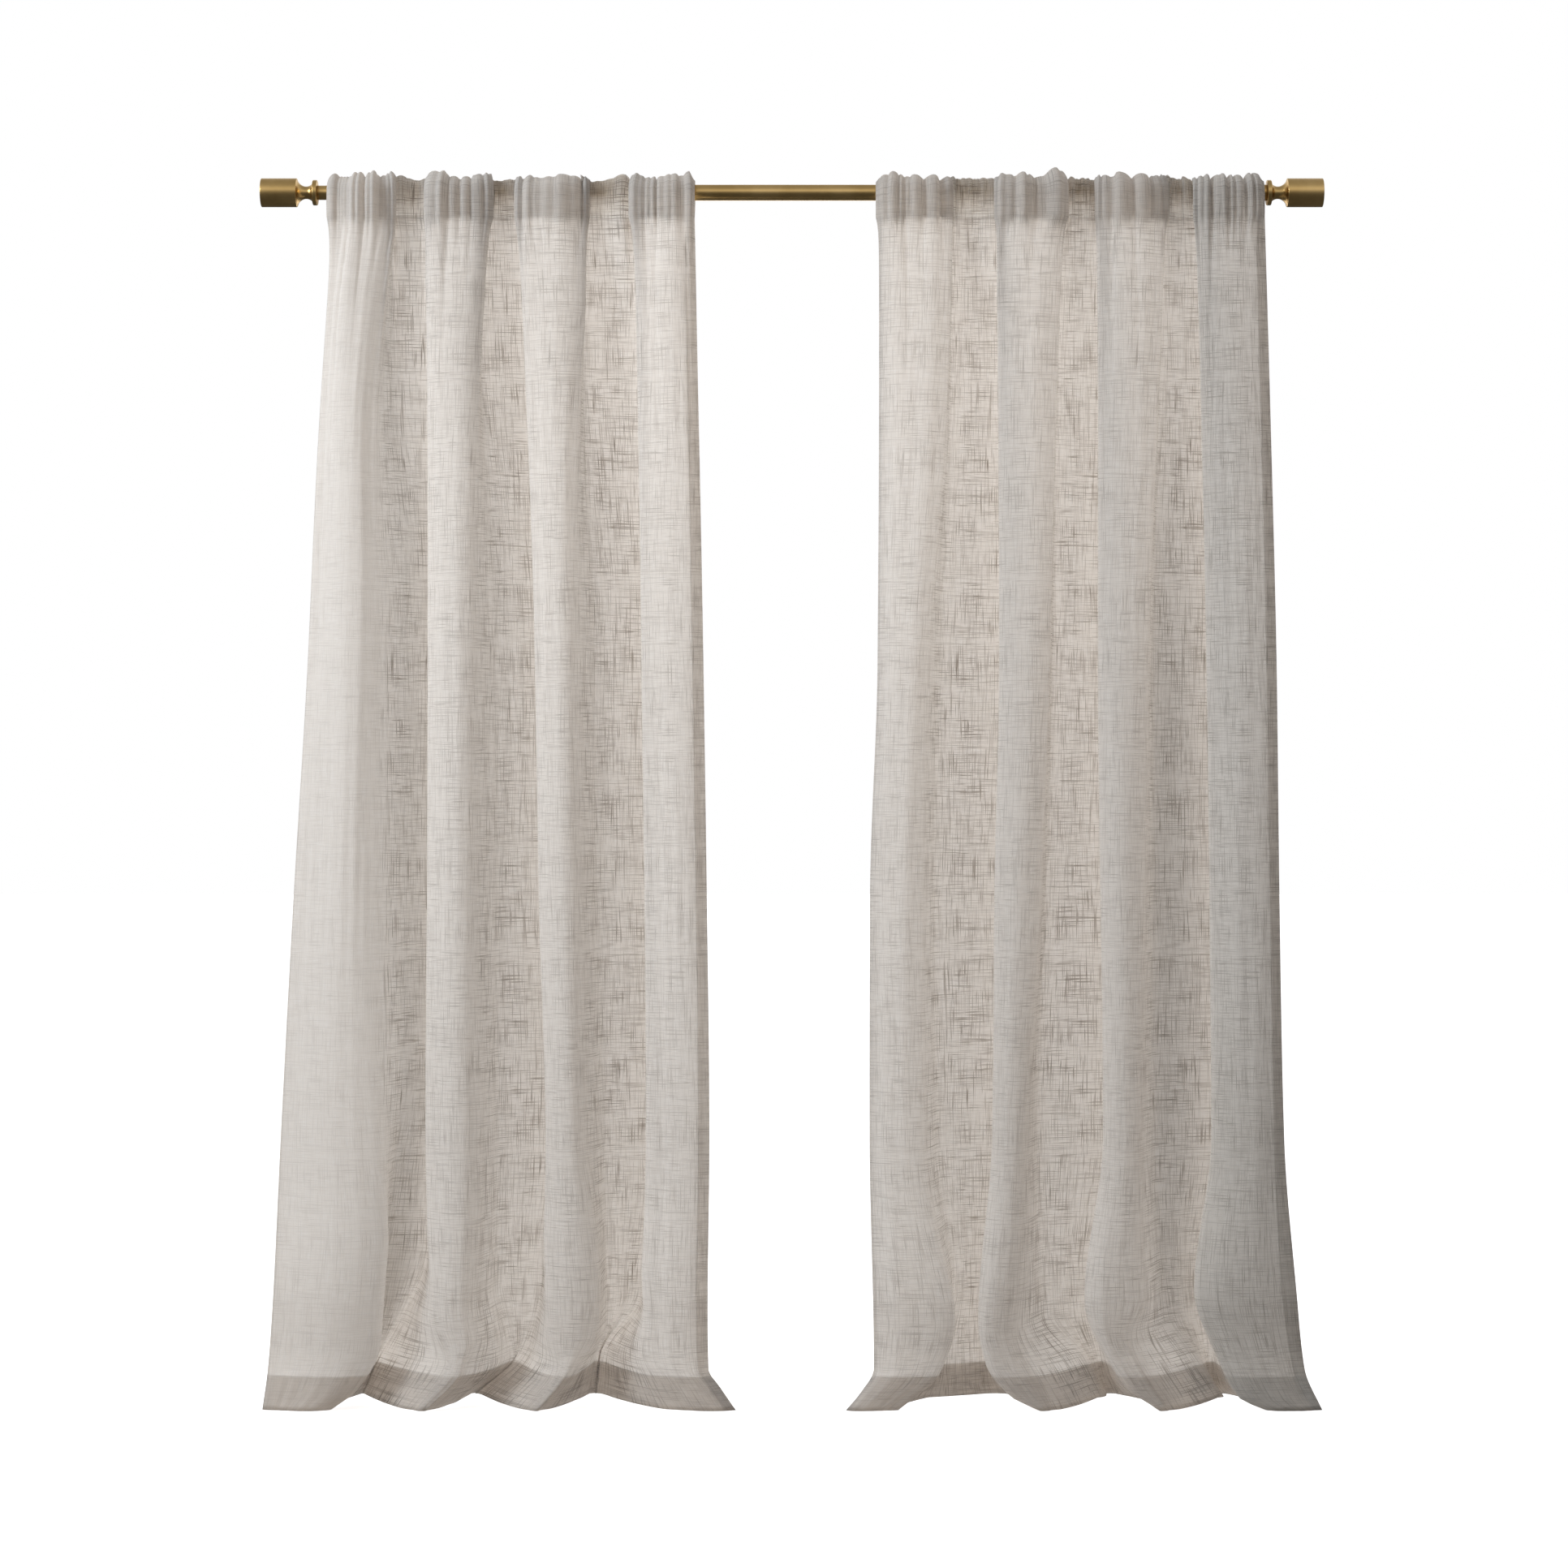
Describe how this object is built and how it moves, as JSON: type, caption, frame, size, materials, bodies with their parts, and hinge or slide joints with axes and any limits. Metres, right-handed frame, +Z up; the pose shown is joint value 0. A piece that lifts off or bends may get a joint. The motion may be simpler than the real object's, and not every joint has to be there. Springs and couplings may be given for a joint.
{
  "type": "window curtains on a rod",
  "caption": "Floor-length linen-look rod-pocket curtain panels gathered on a telescoping brass rod with cylinder finials and wall brackets.",
  "frame": {"origin": "on the floor, midway between the finial tips and midway between the wall and the front of the folds", "axes": "+X along the rod towards its thick-tube end, +Y towards the wall, +Z up"},
  "size_m": [1.854, 0.22, 2.141],
  "materials": {
    "brass": "satin antique brass",
    "zinc_steel": "zinc plated",
    "plastic": "moulded nylon",
    "linen": "slub linen-look weave, light-filtering"
  },
  "bodies": {
    "wall_brackets": {"left_wall_plate": "zinc_steel", "left_wall_screw_upper": "zinc_steel", "left_wall_screw_lower": "zinc_steel", "left_rosette": "brass", "left_bracket_arm": "brass", "right_wall_plate": "zinc_steel", "right_wall_screw_upper": "zinc_steel", "right_wall_screw_lower": "zinc_steel", "right_rosette": "brass", "right_bracket_arm": "brass"},
    "left_thumbscrew_body": {"left_thumbscrew": "brass"},
    "right_thumbscrew_body": {"right_thumbscrew": "brass"},
    "rod": {"outer_tube": "brass", "right_end_plug": "plastic", "left_panel_fold_1": "linen", "right_panel_fold_1": "linen"},
    "rod_inner": {"inner_tube": "brass", "glide_bushing": "plastic", "left_end_plug": "plastic"},
    "left_stud": {"left_finial_stud": "zinc_steel"},
    "right_stud": {"right_finial_stud": "zinc_steel"},
    "left_finial_body": {"left_finial": "brass"},
    "right_finial_body": {"right_finial": "brass"},
    "left_fold_2": {"left_panel_fold_2": "linen"},
    "left_fold_3": {"left_panel_fold_3": "linen"},
    "left_leading_fold": {"left_panel_fold_4": "linen"},
    "right_fold_2": {"right_panel_fold_2": "linen"},
    "right_fold_3": {"right_panel_fold_3": "linen"},
    "right_leading_fold": {"right_panel_fold_4": "linen"}
  },
  "joints": [
    {"name": "rod_lift", "type": "slide", "parent": "wall_brackets", "child": "rod", "axis": [0, 0, 1], "range_m": [0, 0.017]},
    {"name": "rod_telescope", "type": "slide", "parent": "rod", "child": "rod_inner", "axis": [-1, 0, 0], "range_m": [-0.015, 0.47]},
    {"name": "left_draw", "type": "slide", "parent": "rod", "child": "left_leading_fold", "axis": [-1, 0, 0], "range_m": [-0.085, 0.36], "deforming": ["left_panel_fold_1", "left_panel_fold_2", "left_panel_fold_3", "left_panel_fold_4"]},
    {"name": "left_fold_2_gather", "type": "slide", "parent": "rod", "child": "left_fold_2", "axis": [-1, 0, 0], "range_m": [-0.0279, 0.1148]},
    {"name": "left_fold_3_gather", "type": "slide", "parent": "rod", "child": "left_fold_3", "axis": [-1, 0, 0], "range_m": [-0.0591, 0.2472]},
    {"name": "left_finial_travel", "type": "slide", "parent": "rod_inner", "child": "left_stud", "axis": [-1, 0, 0], "range_m": [-0.0001, 0.0051]},
    {"name": "left_finial_turn", "type": "hinge", "parent": "left_stud", "child": "left_finial_body", "pos_m": [-0.86, 0, 2.116], "axis": [1, 0, 0], "range_deg": [0, 1440]},
    {"name": "left_thumbscrew_turn", "type": "hinge", "parent": "wall_brackets", "child": "left_thumbscrew_body", "pos_m": [-0.77, 0, 2.085], "axis": [0, 0, 1], "range_deg": [0, 720]},
    {"name": "right_draw", "type": "slide", "parent": "rod", "child": "right_leading_fold", "axis": [1, 0, 0], "range_m": [-0.085, 0.36], "deforming": ["right_panel_fold_1", "right_panel_fold_2", "right_panel_fold_3", "right_panel_fold_4"]},
    {"name": "right_fold_2_gather", "type": "slide", "parent": "rod", "child": "right_fold_2", "axis": [1, 0, 0], "range_m": [-0.0279, 0.1148]},
    {"name": "right_fold_3_gather", "type": "slide", "parent": "rod", "child": "right_fold_3", "axis": [1, 0, 0], "range_m": [-0.0591, 0.2472]},
    {"name": "right_finial_travel", "type": "slide", "parent": "rod", "child": "right_stud", "axis": [1, 0, 0], "range_m": [-0.0001, 0.0051]},
    {"name": "right_finial_turn", "type": "hinge", "parent": "right_stud", "child": "right_finial_body", "pos_m": [0.86, 0, 2.116], "axis": [-1, 0, 0], "range_deg": [0, 1440]},
    {"name": "right_thumbscrew_turn", "type": "hinge", "parent": "wall_brackets", "child": "right_thumbscrew_body", "pos_m": [0.77, 0, 2.085], "axis": [0, 0, 1], "range_deg": [0, 720]}
  ],
  "couplings": [
    {"joint": "left_fold_2_gather", "follows": "left_draw", "ratio": 0.316},
    {"joint": "left_fold_3_gather", "follows": "left_draw", "ratio": 0.684},
    {"joint": "left_finial_travel", "follows": "left_finial_turn", "m_per_rad": 0.00019894},
    {"joint": "right_fold_2_gather", "follows": "right_draw", "ratio": 0.316},
    {"joint": "right_fold_3_gather", "follows": "right_draw", "ratio": 0.684},
    {"joint": "right_finial_travel", "follows": "right_finial_turn", "m_per_rad": 0.00019894}
  ]
}
